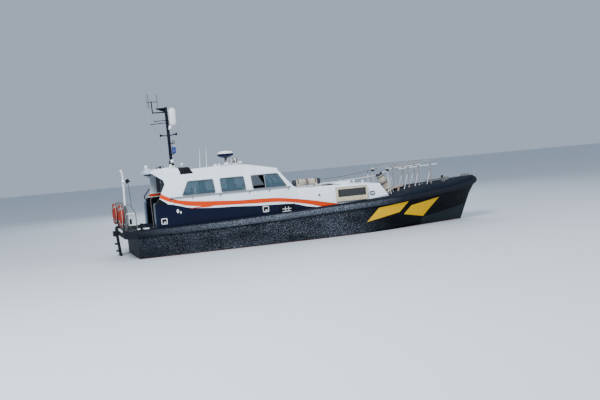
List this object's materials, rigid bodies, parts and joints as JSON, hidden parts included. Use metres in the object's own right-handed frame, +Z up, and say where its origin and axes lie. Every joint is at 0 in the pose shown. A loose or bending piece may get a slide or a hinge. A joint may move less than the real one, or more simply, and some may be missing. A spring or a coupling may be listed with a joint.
{
  "type": "pilot boat",
  "caption": "Fast decked pilot boat: black chined hull with rubber belt, white wheelhouse and trunk cabin, mast, rails, twin screws and rudders.",
  "frame": {"origin": "on the centreline at the waterline, 7.5 m aft of the bow's tip", "axes": "+X forward, +Y to port, +Z up"},
  "size_m": [14.835, 4.4798, 6.98],
  "materials": {
    "black_hull": "weathered black topside paint",
    "black_rubber": "matt rubber fendering",
    "white_gelcoat": "white gelcoat with navy side and orange stripe",
    "navy_paint": "satin navy paint",
    "tinted_glass": "tinted safety glass",
    "cream_plastic": "weathered cream moulding",
    "white_plastic": "white moulded plastic",
    "dark_vinyl": "dark vinyl",
    "black_paint": "black painted metal",
    "steel": "marine stainless tube",
    "galvanised": "galvanised steel",
    "orange_foam": "orange lifebuoy shell",
    "bronze": "cast bronze"
  },
  "bodies": {
    "boat": {"hull": "black_hull", "keel_skeg": "black_hull", "fender_belt": "black_rubber", "stern_platform": "black_rubber", "wheelhouse": "white_gelcoat", "wheelhouse_roof": "white_gelcoat", "trunk_cabin": "white_gelcoat", "side_pane_aft_port": "tinted_glass", "side_pane_aft_starboard": "tinted_glass", "side_pane_middle_port": "tinted_glass", "side_pane_middle_starboard": "tinted_glass", "side_pane_forward_port": "tinted_glass", "side_pane_forward_starboard": "tinted_glass", "windscreen_port": "tinted_glass", "windscreen_centre": "tinted_glass", "windscreen_starboard": "tinted_glass", "helm_console": "dark_vinyl", "helm_seat": "dark_vinyl", "crew_seat": "dark_vinyl", "bench_starboard": "dark_vinyl", "mast": "black_paint", "radar_reflector": "white_plastic", "radome": "white_plastic", "roof_vent": "black_paint", "liferaft_top": "cream_plastic", "liferaft_forward": "cream_plastic", "guard_rail_port": "steel", "grab_rail_port": "steel", "louvre_port": "cream_plastic", "deck_lamp_port": "steel", "lifebuoy_port": "orange_foam", "shaft_port": "steel", "guard_rail_starboard": "steel", "grab_rail_starboard": "steel", "louvre_starboard": "cream_plastic", "deck_lamp_starboard": "steel", "lifebuoy_starboard": "orange_foam", "shaft_starboard": "steel", "anchor": "galvanised", "bow_bitt": "black_paint", "stern_bitt_port": "black_paint", "stern_bitt_starboard": "black_paint", "stern_rail": "steel", "stern_ladder": "black_paint"},
    "propeller_port": {"propeller_port": "bronze"},
    "propeller_starboard": {"propeller_starboard": "bronze"},
    "rudder_port": {"rudder_port": "black_hull"},
    "rudder_starboard": {"rudder_starboard": "black_hull"},
    "door": {"cabin_door": "navy_paint"},
    "trunk_lid": {"trunk_hatch": "white_gelcoat"},
    "fore_lid": {"foredeck_hatch": "cream_plastic"},
    "wheel": {"helm_wheel": "black_rubber"},
    "lamp": {"searchlight": "white_plastic"}
  },
  "joints": [
    {"name": "propeller_port_spin", "type": "hinge", "parent": "boat", "child": "propeller_port", "pos_m": [-6.13, 0.8, -0.77], "axis": [0.9916, 0, 0.1296], "continuous": true},
    {"name": "propeller_starboard_spin", "type": "hinge", "parent": "boat", "child": "propeller_starboard", "pos_m": [-6.13, -0.8, -0.77], "axis": [0.9916, 0, 0.1296], "continuous": true},
    {"name": "rudder_port_turn", "type": "hinge", "parent": "boat", "child": "rudder_port", "pos_m": [-6.52, 0.8, -0.7], "axis": [0, 0, 1], "range_deg": [-35, 35]},
    {"name": "rudder_starboard_turn", "type": "hinge", "parent": "boat", "child": "rudder_starboard", "pos_m": [-6.52, -0.8, -0.7], "axis": [0, 0, 1], "range_deg": [-35, 35]},
    {"name": "door_hinge", "type": "hinge", "parent": "boat", "child": "door", "pos_m": [-5.025, 0.4, 1.95], "axis": [0, 0, -1], "range_deg": [0, 100]},
    {"name": "trunk_lid_hinge", "type": "hinge", "parent": "boat", "child": "trunk_lid", "pos_m": [1.982, 0, 1.985], "axis": [0, 1, 0], "range_deg": [0, 95]},
    {"name": "fore_lid_hinge", "type": "hinge", "parent": "boat", "child": "fore_lid", "pos_m": [4.23533, 0, 1.59689], "axis": [0, 1, 0], "range_deg": [0, 95]},
    {"name": "wheel_turn", "type": "hinge", "parent": "boat", "child": "wheel", "pos_m": [-1.59, -1.01, 1.88], "axis": [0.9131, 0, -0.4078], "continuous": true},
    {"name": "lamp_turn", "type": "hinge", "parent": "boat", "child": "lamp", "pos_m": [-2.69, -0.52, 3.1], "axis": [0, 0, 1], "range_deg": [-170, 170]}
  ],
  "couplings": [
    {"joint": "rudder_starboard_turn", "follows": "rudder_port_turn", "ratio": 1}
  ]
}
